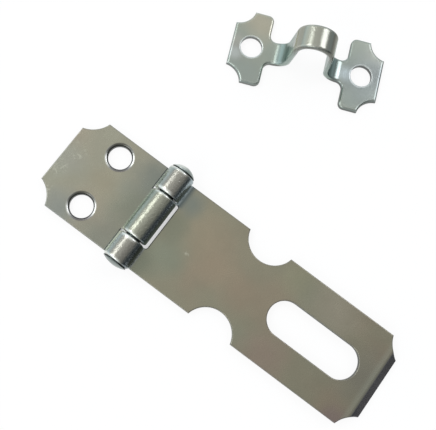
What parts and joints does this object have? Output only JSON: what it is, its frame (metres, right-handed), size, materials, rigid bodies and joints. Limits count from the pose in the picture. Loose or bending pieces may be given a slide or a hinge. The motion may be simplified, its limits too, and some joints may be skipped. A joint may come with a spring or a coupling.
{
  "type": "padlock hasp",
  "caption": "Light zinc-plated padlock hasp: a screwed leaf with a hinged, slotted strap that closes over a separate bent-strip staple.",
  "frame": {"origin": "midway between the leaf's two screw holes, on its back face", "axes": "+X from the leaf towards the strap's tip, +Z out of the mounting surface, +Y along the hinge pin towards the staple"},
  "size_m": [0.075, 0.0675, 0.0134],
  "materials": {
    "leaf_zinc": "dull zinc plate, warm grey",
    "strap_zinc": "dull zinc plate, olive grey with faint brown and green patches",
    "pin_zinc": "zinc plate, brighter on the peened heads",
    "staple_zinc": "zinc plate, cool grey, bright along the bends"
  },
  "bodies": {
    "base": {"fixed_leaf": "leaf_zinc", "hinge_pin": "pin_zinc", "staple": "staple_zinc"},
    "strap": {"strap": "strap_zinc"}
  },
  "joints": [
    {"name": "strap_hinge", "type": "hinge", "parent": "base", "child": "strap", "pos_m": [0.0117, 0, 0.00275], "axis": [0, -1, 0], "range_deg": [0, 180]}
  ]
}
